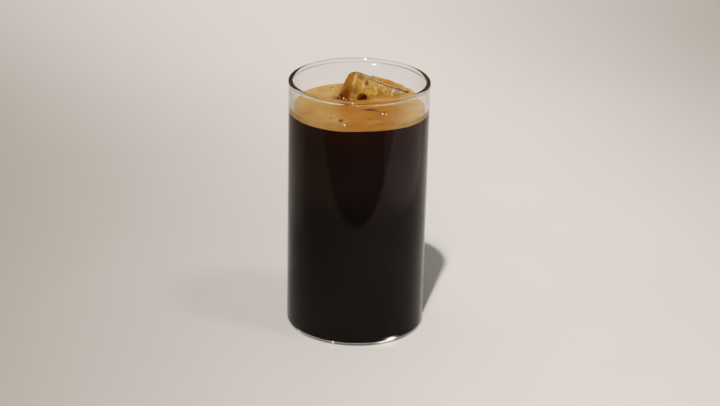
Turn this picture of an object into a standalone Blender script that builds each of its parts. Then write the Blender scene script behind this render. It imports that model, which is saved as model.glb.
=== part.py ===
"""An iced americano in a straight clear tumbler: the glass, the dark coffee, the golden crema on it and
the one block of ice that stands out of it, leaning on the wall.

Run it with blender --background --python part.py, or from the text editor. Metres, +Z up. The origin is the
centre of the glass's underside, and the side that faces the viewer is -Y.
"""

import math

import bmesh
import bpy
from mathutils import Euler, Vector

MM = 0.001

# Driving dimensions of the glass
GLASS_RADIUS = 36.0 * MM
GLASS_HEIGHT = 133.3 * MM
WALL = 2.0 * MM
BASE_THICKNESS = 2.2 * MM
HEEL_RADIUS = 2.0 * MM
INNER_CORNER_RADIUS = 2.4 * MM
ARC_STEPS = 5
TURN_STEPS = 96

# Driving dimensions of what is in it
CREMA_LEVEL = 119.4 * MM
CREMA_THICKNESS = 1.9 * MM
GAP = 0.3 * MM

# The crema climbs the wall: a little all round, and in a tall lip behind the ice. Angles are degrees from
# +X towards +Y.
MENISCUS_HEIGHT = 0.6 * MM
MENISCUS_REACH = 1.2 * MM
LIP_HEIGHT = 4.9 * MM
LIP_REACH = 9.0 * MM
LIP_START, LIP_PEAK, LIP_END = 12.0, 78.0, 104.0
CREMA_SECTORS = 72
CREMA_RINGS = 14
RING_SPACING_POWER = 0.55

# The ice is a worn block. Its near top left corner is the highest point, and its three edges leave that
# corner along the block's own axes: along the ridge, down the front and through to the back.
ICE_CORNER = Vector((-1.9, 16.6, 132.0)) * MM
ICE_TURN = Euler([math.radians(angle) for angle in (-127.7, 20.6, 5.2)], "XYZ")
ICE_LENGTH = 33.5 * MM
ICE_DEPTH = 27.0 * MM
ICE_THICKNESS = 15.0 * MM
ICE_LEFT_EDGE = Vector((-3.5, 1.7, 3.5)) * MM
ICE_LEFT_LEAN = Vector((-0.95, -0.19, 0.25))
ICE_SHARPNESS = 28
ICE_CUTS = 12
ICE_WALL_CLEARANCE = 0.7 * MM
ICE_WALL_AZIMUTHS = (15.0, 35.0, 52.0, 70.0, 88.0, 106.0)

# The hollow that the warm coffee has melted into the front of the block, at the crema's level
HOLLOW_CENTRE = Vector((1.0, 8.6, 120.3)) * MM
HOLLOW_RADIUS = 3.0 * MM

INNER_RADIUS = GLASS_RADIUS - WALL
CONTENTS_RADIUS = INNER_RADIUS - GAP
CREMA_UNDERSIDE = CREMA_LEVEL - CREMA_THICKNESS
COFFEE_TOP = CREMA_UNDERSIDE - GAP


def clear_scene():
    for old in list(bpy.data.objects):
        bpy.data.objects.remove(old)


def material(name, colour, roughness, transmission=0.0, ior=1.45):
    """A Principled material of that linear colour."""
    made = bpy.data.materials.new(name)
    made.use_nodes = True
    shader = made.node_tree.nodes["Principled BSDF"]
    shader.inputs["Base Color"].default_value = (*colour, 1.0)
    shader.inputs["Roughness"].default_value = roughness
    shader.inputs["Metallic"].default_value = 0.0
    shader.inputs["Transmission Weight"].default_value = transmission
    shader.inputs["IOR"].default_value = ior
    return made


def add_object(name, bm, finish=None):
    """Puts the mesh in the scene with outward faces, as one named object."""
    bm.normal_update()
    bmesh.ops.recalc_face_normals(bm, faces=bm.faces)
    mesh = bpy.data.meshes.new(name)
    bm.to_mesh(mesh)
    bm.free()
    made = bpy.data.objects.new(name, mesh)
    bpy.context.scene.collection.objects.link(made)
    if finish:
        mesh.materials.append(finish)
    return made


def smooth(made, degrees=35.0):
    """Shades round surfaces smooth and keeps the edges sharper than that angle."""
    made.data.shade_smooth()
    made.data.set_sharp_from_angle(angle=math.radians(degrees))


def arc(centre_x, centre_z, radius, start, end, steps=ARC_STEPS):
    """Profile points (x, z) on an arc, from one angle to another in degrees."""
    angles = [math.radians(start + (end - start) * i / steps) for i in range(steps + 1)]
    return [(centre_x + radius * math.cos(a), centre_z + radius * math.sin(a)) for a in angles]


def turned(name, profile, finish):
    """A body turned round the vertical axis from a profile that starts and ends on that axis."""
    bm = bmesh.new()
    points = [bm.verts.new((x, 0.0, z)) for x, z in profile]
    for first, second in zip(points, points[1:]):
        bm.edges.new((first, second))
    mesh = bpy.data.meshes.new(name)
    bm.to_mesh(mesh)
    bm.free()
    made = bpy.data.objects.new(name, mesh)
    bpy.context.scene.collection.objects.link(made)
    mesh.materials.append(finish)
    screw = made.modifiers.new("Turn", "SCREW")
    screw.steps = TURN_STEPS
    screw.render_steps = TURN_STEPS
    screw.use_merge_vertices = True
    screw.merge_threshold = 0.01 * MM
    screw.use_smooth_shade = True
    return made


def make_glass():
    """The tumbler: flat base, rounded heel, straight wall and a rim melted to a half round."""
    corner_x = INNER_RADIUS - INNER_CORNER_RADIUS
    corner_z = BASE_THICKNESS + INNER_CORNER_RADIUS
    rim_radius = WALL / 2
    profile = [(0.0, BASE_THICKNESS)]
    profile += arc(corner_x, corner_z, INNER_CORNER_RADIUS, -90, 0)
    profile += arc(INNER_RADIUS + rim_radius, GLASS_HEIGHT - rim_radius, rim_radius, 180, 0, 2 * ARC_STEPS)
    profile += arc(GLASS_RADIUS - HEEL_RADIUS, HEEL_RADIUS, HEEL_RADIUS, 0, -90)
    profile += [(0.0, 0.0)]
    finish = material("clear_glass", (0.97, 0.98, 0.98), 0.02, transmission=1.0, ior=1.47)
    return turned("glass", profile, finish)


def make_coffee(ice_cutter):
    """The dark drink, from the glass's floor to the crema's underside, cut round the ice."""
    corner_radius = INNER_CORNER_RADIUS - GAP
    floor = BASE_THICKNESS + GAP
    profile = [(0.0, COFFEE_TOP), (CONTENTS_RADIUS, COFFEE_TOP)]
    profile += arc(CONTENTS_RADIUS - corner_radius, floor + corner_radius, corner_radius, 0, -90)
    profile += [(0.0, floor)]
    finish = material("black_coffee", (0.012, 0.006, 0.004), 0.08, ior=1.34)
    coffee = turned("coffee", profile, finish)
    cut(coffee, ice_cutter)
    return coffee


def crema_height(radius, azimuth):
    """How far the crema's surface stands above its level: a meniscus that fades from the wall, and the lip
    that rises evenly from its start to its peak, falls quickly to its end and slopes down inwards."""
    from_wall = CONTENTS_RADIUS - radius
    height = MENISCUS_HEIGHT * math.exp(-from_wall / MENISCUS_REACH)
    degrees = math.degrees(azimuth)
    if LIP_START < degrees < LIP_END and from_wall < LIP_REACH:
        rising = (degrees - LIP_START) / (LIP_PEAK - LIP_START)
        falling = (LIP_END - degrees) / (LIP_END - LIP_PEAK)
        inwards = 1.0 - from_wall / LIP_REACH
        height = max(height, LIP_HEIGHT * min(rising, falling) * inwards * inwards)
    return height


def make_crema(ice_cutter):
    """The layer of golden foam: a disc with a flat underside, a low meniscus and the lip behind the ice."""
    bm = bmesh.new()
    radii = [CONTENTS_RADIUS * (i / CREMA_RINGS) ** RING_SPACING_POWER for i in range(1, CREMA_RINGS + 1)]
    centre = bm.verts.new((0.0, 0.0, CREMA_LEVEL))
    rings = []
    for radius in radii:
        ring = []
        for sector in range(CREMA_SECTORS):
            azimuth = math.tau * sector / CREMA_SECTORS
            height = CREMA_LEVEL + crema_height(radius, azimuth)
            ring.append(bm.verts.new((radius * math.cos(azimuth), radius * math.sin(azimuth), height)))
        rings.append(ring)
    underside = [bm.verts.new((v.co.x, v.co.y, CREMA_UNDERSIDE)) for v in rings[-1]]
    rings.append(underside)
    for sector in range(CREMA_SECTORS):
        following = (sector + 1) % CREMA_SECTORS
        bm.faces.new((centre, rings[0][sector], rings[0][following]))
        for inner, outer in zip(rings, rings[1:]):
            bm.faces.new((inner[sector], outer[sector], outer[following], inner[following]))
    bm.faces.new(underside[::-1])
    bmesh.ops.triangulate(bm, faces=bm.faces)
    crema = add_object("crema", bm, material("golden_crema", (0.40, 0.17, 0.03), 0.35))
    smooth(crema)
    cut(crema, ice_cutter)
    return crema


def ice_faces():
    """(outward normal, point on it) of each face of the block, in the world's axes: the six sides of the
    block, the chamfer down its near left edge, and flats where it has melted to the wall's curve."""
    axes = ICE_TURN.to_matrix()
    faces = [
        (Vector((0, 0, -1)), Vector((0, 0, 0))),
        (Vector((0, -1, 0)), Vector((0, 0, 0))),
        (Vector((-1, 0, -1)), Vector((0, 0, 0))),
        (ICE_LEFT_LEAN, ICE_LEFT_EDGE),
        (Vector((0, 0, 1)), Vector((0, 0, ICE_THICKNESS))),
        (Vector((0, 1, 0)), Vector((0, ICE_DEPTH, 0))),
        (Vector((1, 0, 0)), Vector((ICE_LENGTH, 0, 0))),
    ]
    faces = [(axes @ normal.normalized(), ICE_CORNER + axes @ point) for normal, point in faces]
    reach = INNER_RADIUS - ICE_WALL_CLEARANCE
    for degrees in ICE_WALL_AZIMUTHS:
        outwards = Vector((math.cos(math.radians(degrees)), math.sin(math.radians(degrees)), 0))
        faces.append((outwards, outwards * reach))
    return faces


def make_ice_block(name, clearance, finish=None):
    """The worn block, its faces moved out by the clearance. Seen from its middle, its surface is where the
    powers of the faces' shares add up to one, which rounds every edge and corner a little."""
    axes = ICE_TURN.to_matrix()
    half = Vector((ICE_LENGTH, ICE_DEPTH, ICE_THICKNESS)) / 2
    middle = ICE_CORNER + axes @ half
    shares = [(normal, normal.dot(point - middle) + clearance) for normal, point in ice_faces()]
    bm = bmesh.new()
    bmesh.ops.create_cube(bm, size=2.0)
    bmesh.ops.subdivide_edges(bm, edges=bm.edges, cuts=ICE_CUTS, use_grid_fill=True)
    for vert in bm.verts:
        towards = axes @ Vector([side * length for side, length in zip(vert.co, half)])
        direction = towards.normalized()
        total = sum(max(0.0, normal.dot(direction) / far) ** ICE_SHARPNESS for normal, far in shares)
        vert.co = middle + direction * total ** (-1 / ICE_SHARPNESS)
    return add_object(name, bm, finish)


def cut(body, cutter):
    """Takes the cutter's shape out of the body and keeps the cut."""
    boolean = body.modifiers.new("Cut", "BOOLEAN")
    boolean.operation = "DIFFERENCE"
    boolean.solver = "EXACT"
    boolean.object = cutter


def as_cutter(helper):
    helper.hide_render = True
    helper.display_type = "WIRE"
    return helper


def make_ice():
    """The block with the hollow melted into its front."""
    finish = material("clear_ice", (0.86, 0.72, 0.48), 0.06, transmission=0.9, ior=1.31)
    ice = make_ice_block("ice_block", 0.0, finish)
    smooth(ice, 50.0)
    bm = bmesh.new()
    bmesh.ops.create_icosphere(bm, subdivisions=3, radius=HOLLOW_RADIUS)
    bmesh.ops.translate(bm, verts=bm.verts, vec=HOLLOW_CENTRE)
    cut(ice, as_cutter(add_object("hollow_cutter", bm)))
    return ice


def main():
    clear_scene()
    make_glass()
    make_ice()
    ice_cutter = as_cutter(make_ice_block("ice_cutter", GAP))
    make_coffee(ice_cutter)
    make_crema(ice_cutter)


main()
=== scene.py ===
"""An iced americano in a straight clear tumbler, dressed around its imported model: the glass, the near-black
coffee, the golden crema with its bubbles, the worn block of ice with the air in it, and a plain pale studio.

Run it with blender --background --python scene.py. Metres, +Z up. The origin is the middle of the glass's
underside, and the side that faces the viewer is -Y.
"""

import math

import bpy
import numpy as np
from bpy.props import FloatProperty, FloatVectorProperty, IntProperty, PointerProperty
from mathutils import Euler, Matrix, Vector


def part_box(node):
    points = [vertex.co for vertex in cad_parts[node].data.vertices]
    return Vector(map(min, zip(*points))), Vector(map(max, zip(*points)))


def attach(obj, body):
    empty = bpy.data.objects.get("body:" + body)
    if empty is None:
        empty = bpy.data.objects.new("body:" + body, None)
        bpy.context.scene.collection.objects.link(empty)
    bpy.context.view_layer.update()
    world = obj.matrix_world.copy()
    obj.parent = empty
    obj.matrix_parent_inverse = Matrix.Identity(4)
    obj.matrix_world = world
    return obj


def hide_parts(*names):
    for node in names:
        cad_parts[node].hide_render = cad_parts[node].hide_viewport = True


bl_info = {
    "name": "Iced Americano Dressing",
    "version": (1, 0, 0),
    "blender": (4, 5, 0),
    "location": "3D View > Sidebar > Iced Americano",
    "description": "Dresses a packed glass of iced americano: clear glass, coffee, crema, ice and a studio",
    "category": "Object",
}

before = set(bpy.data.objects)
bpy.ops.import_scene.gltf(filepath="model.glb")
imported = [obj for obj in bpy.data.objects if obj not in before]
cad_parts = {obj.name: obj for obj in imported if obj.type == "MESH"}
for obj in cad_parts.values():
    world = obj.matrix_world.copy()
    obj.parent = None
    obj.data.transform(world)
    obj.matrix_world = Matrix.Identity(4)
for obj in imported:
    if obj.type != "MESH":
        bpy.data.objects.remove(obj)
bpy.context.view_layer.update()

MM = 0.001
BODY = "root"
GLASS_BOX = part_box("glass")
COFFEE_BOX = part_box("coffee")
CREMA_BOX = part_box("crema")

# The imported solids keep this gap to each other. What fills the glass reaches just into the wall here.
GAP = 0.3 * MM
INTO_WALL = 0.06 * MM
CREMA_INTO_WALL = 0.10 * MM

# How far the coffee's top reaches up into the crema, and how high the narrow strip of faces at its edge is
COFFEE_INTO_CREMA = 1.0 * MM
COFFEE_EDGE = 0.2 * MM

# The crema climbs the wall: a little all round, and in a tall lip behind the ice. Angles are degrees from
# +X towards +Y.
LIP_START, LIP_PEAK, LIP_END = 12.0, 78.0, 104.0

# The crema's lower edge at the wall, in mm from its underside: its mean, its tilt towards +X, and a rise
# round one azimuth in degrees, as exp(narrowness (cos(a - azimuth) - 1))
EDGE_MEAN, EDGE_TILT, EDGE_RISE = -0.62, 0.30, 0.80
EDGE_AZIMUTH, EDGE_NARROWNESS = -78.0, 9.7

# Where the block's near top left corner lies, and how it is turned
ICE_CORNER = (-1.3 * MM, 16.6 * MM, 132.2 * MM)
ICE_TURN = tuple(np.radians((-127.7, 20.6, 5.2)).tolist())

# Middle of the round hollow that coffee has melted into the ice's front
HOLLOW_CENTRE = np.array([2.2, 8.3, 119.5]) * MM

# The ice's faces in the block's own axes, as (outward normal, a point in mm). The first three stand at the
# near top left corner: the front, the top and the chamfer between the front and the left side. The left side
# and the small cut over it follow.
ICE_NEAR_FACES = (((0, 0, -1), (0, 0, 0)), ((0, -1, 0), (0, 0, 0)), ((-1, 0, -1), (0, 0, 0)))
ICE_LEFT_FACES = (((-0.95, -0.19, 0.25), (-3.5, 1.7, 3.5)), ((-0.60, -0.75, -0.10), (-1.5, 0.25, 1.0)))

# The block's back and right side keep a clearance to the wall, along flat faces that look in these directions
ICE_WALL_AZIMUTHS = (15.0, 35.0, 52.0, 70.0, 88.0, 106.0)
ICE_WALL_CLEARANCE = 0.4 * MM

# Dents that melting has left in the front face: along the ridge, down the front, width and depth in mm
ICE_DENTS = (
    (6.1, 4.2, 0.9, 0.55),
    (2.6, 2.6, 1.6, 0.35),
    (11.4, 5.2, 1.1, 0.30),
    (16.3, 5.0, 0.9, 0.25),
    (20.9, 3.6, 1.3, 0.45),
    (9.0, 9.5, 2.2, 0.35),
)

# What shows inside the ice's front: along the ridge, down the front, half width and half height, in mm, and
# strength
ICE_CLOUDS = (
    (4.5, 6.0, 1.0, 1.7, 0.6),
    (-0.6, 3.6, 0.35, 3.0, 0.6),
    (8.7, 8.4, 0.4, 2.2, 0.35),
    (6.9, 7.8, 0.35, 2.4, 0.3),
    (11.4, 5.0, 0.55, 0.7, 0.95),
    (12.6, 7.6, 0.8, 0.5, 0.45),
    (16.3, 4.8, 0.6, 0.7, 0.95),
    (17.2, 6.6, 0.5, 0.5, 0.5),
    (21.3, 4.0, 0.35, 3.0, 0.8),
    (22.6, 3.2, 1.2, 2.0, 0.5),
    (25.8, 2.6, 1.6, 1.4, 0.4),
)
ICE_STAINS = (
    (2.0, 2.3, 1.8, 0.9, 0.55),
    (6.1, 4.3, 0.8, 0.9, 1.4),
    (6.3, 2.4, 0.3, 1.5, 0.4),
    (23.2, 3.2, 0.3, 1.6, 0.8),
    (25.0, 2.2, 0.3, 1.0, 0.5),
    (1.4, 10.5, 2.2, 2.2, 0.35),
    (-2.6, 11.5, 1.2, 3.0, 0.55),
    (-3.9, 15.0, 2.4, 2.4, 0.9),
)

# Where painted glints flash in the heel: azimuth in degrees, height in mm, half width in degrees, half
# height, strength
HEEL_GLINTS = (
    (302.5, 2.1, 4.6, 1.0, 1.3),
    (295.0, 1.3, 5.0, 0.5, 1.0),
    (252.4, 1.3, 0.8, 0.7, 1.0),
    (217.0, 1.3, 1.1, 0.6, 0.8),
)

# The heel's light: how far it reaches up the wall, and how far its two faces lie inside the heel
HEEL_UPWARDS = 1.8 * MM
HEEL_INSETS = 0.30 * MM, 0.36 * MM

# Dark wet marks on the crema: across, along the view, half width and half height in mm, strength
CREMA_MARKS = (
    (5.6, -5.6, 2.5, 1.4, 2.0),
    (-8.9, -23.9, 0.9, 1.6, 1.0),
    (9.2, -7.6, 1.3, 1.0, 0.7),
    (12.2, -9.4, 1.2, 1.0, 0.5),
    (5.8, -19.1, 0.5, 0.9, 0.5),
)

# Paler patches of foam, in the same terms: in front at the left, and at the ice's right foot
CREMA_PALE_PATCHES = (
    (-8.5, -25.0, 4.0, 4.5, 0.5),
    (14.5, 9.0, 9.0, 4.5, 0.75),
)

# Small glowing beads on the crema, painted highlights: across, along the view, radius in mm
CREMA_HIGHLIGHT_BEADS = (
    (-9.3, 19.8, 0.50),
    (-7.9, 8.9, 0.62),
    (-9.9, 10.6, 0.40),
    (-6.6, 7.4, 0.38),
    (-10.9, 12.2, 0.36),
    (-14.1, 24.3, 0.42),
    (11.9, -12.0, 0.48),
    (13.6, -12.6, 0.30),
    (-6.8, -30.3, 0.50),
)

# A glowing drop on the inner wall behind, a painted highlight, drawn out sideways: azimuth in degrees, height
# and radius in mm
WALL_DROP_HIGHLIGHTS = (
    (75.9, 130.30, 0.40),
    (76.8, 130.35, 0.50),
    (77.8, 130.35, 0.52),
    (78.8, 130.30, 0.42),
)

# Single bubbles that show on the crema: across, along the view, radius in mm
CREMA_BUBBLES = (
    (-14.3, 24.7, 0.9),
    (-9.2, 21.4, 1.0),
    (-6.7, -29.7, 0.8),
    (-8.7, -23.6, 1.1),
    (-7.6, -22.4, 0.6),
    (11.9, -11.3, 0.7),
    (10.6, -10.4, 0.45),
    (13.0, -10.7, 0.4),
    (5.8, -19.1, 0.45),
    (-11.4, 8.6, 1.35),
    (-9.9, 6.4, 1.1),
    (-13.1, 10.4, 0.9),
    (-8.2, 4.6, 0.8),
    (-13.6, 7.6, 0.65),
    (-11.9, 5.9, 0.55),
    (-14.0, -20.6, 0.7),
)

# How many small bubbles are tried on the crema, and how many in the ice, where those lie at least this deep
# and above this height
SMALL_BUBBLES = 160
AIR_BUBBLES = 50
AIR_DEPTH, AIR_LOWEST = 1.4 * MM, 119.0 * MM

# The two far lamps: azimuth, height above the floor and apparent size, in degrees
KEY_LAMP = (-102.6, 57.0, 1.6)
FILL_LAMP = (-21.6, 60.0, 9.0)

# The soft boards that show in the glass: name, power, place, and width and height
BOARDS = (
    ("right_board", 0.030, (0.202, -0.036, 0.050), (0.34, 0.10)),
    ("left_board", 0.005, (-0.155, 0.055, 0.050), (0.12, 0.10)),
)
BOARD_AIM = (0.0, 0.0, 0.050)

# How far the floor reaches on each side
FLOOR_REACH = 4.0

# How dark the toe of the tone curve makes the deep tones: brightness in the scene, brightness shown
TONE = ((0.03, 0.0085), (0.08, 0.042), (0.15, 0.118), (0.25, 0.245))


def length(label, description, default):
    """A length that a user may change, in metres."""
    return FloatProperty(
        name=label, description=description, default=default,
        min=0.0, precision=5, subtype="DISTANCE", unit="LENGTH",
    )


def colour(label, description, default):
    """A linear colour that a user may change."""
    return FloatVectorProperty(
        name=label, description=description, default=default, size=3, min=0.0, max=1.0, subtype="COLOR"
    )


def amount(label, description, default, most):
    """A plain number that a user may change."""
    return FloatProperty(name=label, description=description, default=default, min=0.0, max=most)


def angle(label, description, degrees):
    """An angle that a user may change, given in degrees."""
    return FloatProperty(
        name=label, description=description, default=math.radians(degrees), subtype="ANGLE", unit="ROTATION"
    )


def whole(label, description, default, least):
    """A number of points or cells that a user may change."""
    return IntProperty(name=label, description=description, default=default, min=least)


def triple(label, description, default, subtype, unit):
    """Three lengths or angles that a user may change."""
    return FloatVectorProperty(
        name=label, description=description, default=default, size=3, subtype=subtype, unit=unit
    )


class GlassSettings(bpy.types.PropertyGroup):
    """Sizes and colour of the tumbler."""

    radius: length("Radius", "Outer radius of the tumbler", GLASS_BOX[1].x)
    height: length("Height", "From the table to the rim", GLASS_BOX[1].z)
    wall: length("Wall", "Thickness of the wall", GLASS_BOX[1].x - CREMA_BOX[1].x - GAP)
    base: length("Base", "Thickness of the flat base", COFFEE_BOX[0].z - GAP)
    heel: length("Heel", "Radius of the rounded heel", 2.0 * MM)
    bead: length("Rim bead", "Radius of the bead that the flame melts along the rim", 1.2 * MM)
    bead_neck: length("Bead neck", "Radius of the hollow curve between the bead and the wall", 2.0 * MM)
    corner: length("Inner corner", "Radius where the inner wall meets the floor", 2.4 * MM)
    unevenness: length("Unevenness", "How far the wall strays from a true cylinder", 0.03 * MM)
    sectors: whole("Sectors", "Points round the glass", 288, 24)
    tint: colour("Tint", "What clear glass lets through", (0.985, 0.992, 0.990))


class DrinkSettings(bpy.types.PropertyGroup):
    """Sizes and colours of the coffee and of its crema."""

    level: length("Level", "Height of the crema's flat surface", 119.4 * MM)
    underside: length("Underside", "Height of the crema's underside", CREMA_BOX[0].z)
    lift: length("Lift", "Thin air under the coffee, which lets the base carry light", 0.05 * MM)
    meniscus: length("Meniscus", "How far the crema climbs the wall all round", 0.4 * MM)
    lip: length("Lip", "How far the crema climbs the wall behind the ice", 4.9 * MM)
    lip_reach: length("Lip reach", "How far the lip reaches in from the wall", 9.0 * MM)
    sectors: whole("Sectors", "Points round the crema", 300, 24)
    rings: whole("Rings", "Rings of points on the crema", 120, 12)
    coffee: colour("Coffee", "The depth of the drink", (0.0060, 0.0034, 0.0022))
    coffee_mid: colour("Upper coffee", "The drink where a little light still reaches", (0.030, 0.015, 0.011))
    coffee_top: colour("Coffee under the crema", "The drink just under the crema", (0.046, 0.017, 0.009))
    crema: colour("Crema", "The foam's own colour", (0.46, 0.19, 0.031))
    # The pale foam colour also paints the reflection at the left and the right of the crema
    crema_pale_and_reflection: colour("Pale foam", "The lightest patches of foam", (0.60, 0.385, 0.175))
    crema_deep: colour("Deep foam", "The darkest patches of foam", (0.33, 0.112, 0.014))
    crema_wet: colour("Wet foam", "The foam where coffee wets it", (0.085, 0.020, 0.003))


class IceSettings(bpy.types.PropertyGroup):
    """Place, sizes and colours of the block of ice."""

    corner: triple("Corner", "The near top left corner", ICE_CORNER, "TRANSLATION", "LENGTH")
    turn: triple("Turn", "How the block lies", ICE_TURN, "EULER", "ROTATION")
    ridge: length("Ridge", "Length along the ridge", 33.5 * MM)
    depth: length("Depth", "Length down the front", 27.0 * MM)
    thickness: length("Thickness", "From the front face to the back", 15.0 * MM)
    sharpness: amount("Sharpness", "How sharp the worn edges are", 52.0, 80.0)
    ripple: length("Ripple", "Height of the waves that melting leaves", 0.16 * MM)
    hollow: length("Hollow", "Radius of the hollow melted into the front", 3.9 * MM)
    hollow_depth: length("Hollow depth", "How far the hollow goes into the front", 2.6 * MM)
    sag: length("Sag", "How far melting has lowered the middle of the ridge", 0.7 * MM)
    cells: whole("Cells", "Cells along each side of the block", 96, 8)
    clear: colour("Clear ice", "What clean ice lets through", (0.97, 0.975, 0.97))
    film: colour("Coffee film", "What ice wet with coffee lets through", (0.80, 0.52, 0.23))
    pool: colour("Coffee in a hollow", "What a coffee-wet hollow lets through", (0.85, 0.62, 0.40))
    pool_deep: colour("Deep hollow", "The darkest coffee in the hollow", (0.100, 0.028, 0.004))
    # Painted light on the coffee at the upper left of the hollow
    pool_painted_light: colour("Pale hollow", "The lightest coffee in the hollow", (0.27, 0.120, 0.026))
    # The cloud colour also paints the highlight along the ridge
    cloud: colour("Cloud", "The fine air that makes ice pale", (0.70, 0.58, 0.42))
    haze: colour("Haze", "Thin haze that the crema shines through", (0.62, 0.415, 0.225))
    amber: colour("Amber", "The deeper haze low in the ice", (0.56, 0.320, 0.090))
    stain: colour("Stain", "Coffee that has soaked into a crack", (0.070, 0.020, 0.003))
    veil: whole("Veil cells", "Cells along each side of the veil inside", 72, 8)


class StudioSettings(bpy.types.PropertyGroup):
    """The camera, the lamps and the floor."""

    distance: length("Camera distance", "From the glass's axis to the camera", 1.0098)
    aim: length("Aim height", "Height of the point that the camera looks at", 65.48 * MM)
    elevation: angle("Elevation", "How far the camera looks down", 22.24)
    swing: angle("Swing", "How far the camera aims to the right", 0.0921)
    roll: angle("Roll", "How far the camera leans", 1.2846)
    lens: FloatProperty(name="Lens", description="Focal length in mm on a 36 mm sensor", default=96.985)
    # Painted light: the floor is painted lighter where the lamps meet and darker far from them
    floor: colour("Floor", "The pale floor where the lamps meet", (0.797, 0.742, 0.702))
    floor_painted_shade: colour("Floor edge", "The pale floor far from the lamps", (0.335, 0.298, 0.245))
    floor_gap: length("Floor gap", "The thin air under the glass", 0.05 * MM)
    near_edge: length("Near edge", "How far towards the viewer the floor shows in reflections", 0.195)
    key: amount("Key", "Strength of the hard lamp at the front", 2.30, 100.0)
    fill: amount("Fill", "Strength of the weak lamp at the right", 0.27, 100.0)
    room: colour("Room", "The dim room above", (0.236, 0.234, 0.228))
    below: colour("Below", "The dark room at eye level and below", (0.150, 0.134, 0.128))


class IcedAmericanoSettings(bpy.types.PropertyGroup):
    """Everything that a user may change."""

    glass: PointerProperty(type=GlassSettings)
    drink: PointerProperty(type=DrinkSettings)
    ice: PointerProperty(type=IceSettings)
    studio: PointerProperty(type=StudioSettings)


class Shade:
    """A value, colour or vector from a node's socket. Arithmetic on values adds Math nodes."""

    def __init__(self, nodes, socket):
        self.nodes = nodes
        self.socket = socket

    def __add__(self, other):
        return self.nodes.maths("ADD", self, other)

    def __sub__(self, other):
        return self.nodes.maths("SUBTRACT", self, other)

    def __rsub__(self, other):
        return self.nodes.maths("SUBTRACT", other, self)

    def __mul__(self, other):
        return self.nodes.maths("MULTIPLY", self, other)

    def __truediv__(self, other):
        return self.nodes.maths("DIVIDE", self, other)

    def __pow__(self, other):
        return self.nodes.maths("POWER", self, other)

    __radd__ = __add__
    __rmul__ = __mul__


class Nodes:
    """Nodes being added to a tree, with their place from one output of a Texture Coordinate."""

    def __init__(self, tree, place):
        self.tree = tree
        self.place = self.add("ShaderNodeTexCoord", output=place)

    def add(self, kind, settings=None, inputs=None, output=0):
        """Adds a node of that type: first its settings, then the values or links of its sockets."""
        node = self.tree.nodes.new(kind)
        for name, value in (settings or {}).items():
            setattr(node, name, value)
        for name, value in (inputs or {}).items():
            self.feed(node.inputs[name], value)
        return Shade(self, node.outputs[output])

    def feed(self, socket, value):
        """Links a shade to the socket, or gives the socket a plain value."""
        if isinstance(value, Shade):
            self.tree.links.new(value.socket, socket)
        elif socket.type == "RGBA" and len(value) == 3:
            socket.default_value = (*value, 1.0)
        else:
            socket.default_value = value

    def maths(self, operation, *values):
        """A Math node on shades and numbers."""
        return self.add("ShaderNodeMath", {"operation": operation}, dict(enumerate(values)))

    def mix(self, factor, first, second):
        """The first colour where the factor is 0 and the second where it is 1. The numbers are the node's
        colour sockets."""
        return self.add("ShaderNodeMix", {"data_type": "RGBA"}, {0: factor, 6: first, 7: second}, 2)

    def step(self, value, low, high, start=0.0, end=1.0):
        """Rises smoothly from start to end as the value goes from low to high."""
        inputs = {"Value": value, "From Min": low, "From Max": high, "To Min": start, "To Max": end}
        return self.add("ShaderNodeMapRange", {"interpolation_type": "SMOOTHSTEP"}, inputs)

    def noise(self, size, detail=2.0, roughness=0.5, distortion=0.0, stretch=(1, 1, 1)):
        """Soft patches of that size in metres, from 0 to 1, longer along an axis with a stretch below one."""
        place = self.add("ShaderNodeMapping", inputs={"Vector": self.place, "Scale": stretch})
        inputs = {"Vector": place, "Scale": 1.0 / size, "Detail": detail, "Roughness": roughness}
        return self.add("ShaderNodeTexNoise", inputs={**inputs, "Distortion": distortion})

    def cells(self, size):
        """Distance to the nearest of points that lie about that size in metres apart, in cell sizes."""
        return self.add("ShaderNodeTexVoronoi", inputs={"Vector": self.place, "Scale": 1.0 / size})

    def attribute(self, name):
        """A mask that the piece's points carry."""
        return self.add("ShaderNodeAttribute", {"attribute_name": name}, output="Fac")

    def bump(self, height, distance):
        """Small relief whose height, from 0 to 1, stands for that distance."""
        return self.add("ShaderNodeBump", inputs={"Height": height, "Distance": distance}, output="Normal")

    def axes(self):
        """The place's three coordinates."""
        split = self.tree.nodes.new("ShaderNodeSeparateXYZ")
        self.feed(split.inputs[0], self.place)
        return [Shade(self, socket) for socket in split.outputs]

    def around(self, centre, inner, outer):
        """One within the inner distance of a point, and fading to zero at the outer distance."""
        inputs = {0: self.place, 1: centre}
        distance = self.add("ShaderNodeVectorMath", {"operation": "DISTANCE"}, inputs, "Value")
        return self.step(distance, inner, outer, 1.0, 0.0)


class Finish(Nodes):
    """A material being made: a Principled shader, and the nodes that feed it."""

    def __init__(self, name):
        self.material = bpy.data.materials.new(name)
        self.material.use_nodes = True
        super().__init__(self.material.node_tree, "Object")
        self.shader = self.tree.nodes["Principled BSDF"]

    def set(self, **values):
        """Feeds the shader's sockets, whose names are written with _ for a space."""
        for name, value in values.items():
            self.feed(self.shader.inputs[name.replace("_", " ")], value)

    def let_light_through(self, tint):
        """Light from the lamps and from the surroundings goes straight through with that tint, so that it
        reaches what is inside and the piece casts only a faint shadow."""
        open_side = self.add("ShaderNodeBsdfTransparent", inputs={"Color": tint})
        mixed = Shade(self, self.shader.outputs[0])
        for kind in ("Is Diffuse Ray", "Is Shadow Ray"):
            passing = self.add("ShaderNodeLightPath", output=kind)
            mixed = self.add("ShaderNodeMixShader", inputs={0: passing, 1: mixed, 2: open_side})
        self.feed(self.tree.nodes["Material Output"].inputs["Surface"], mixed)


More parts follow.
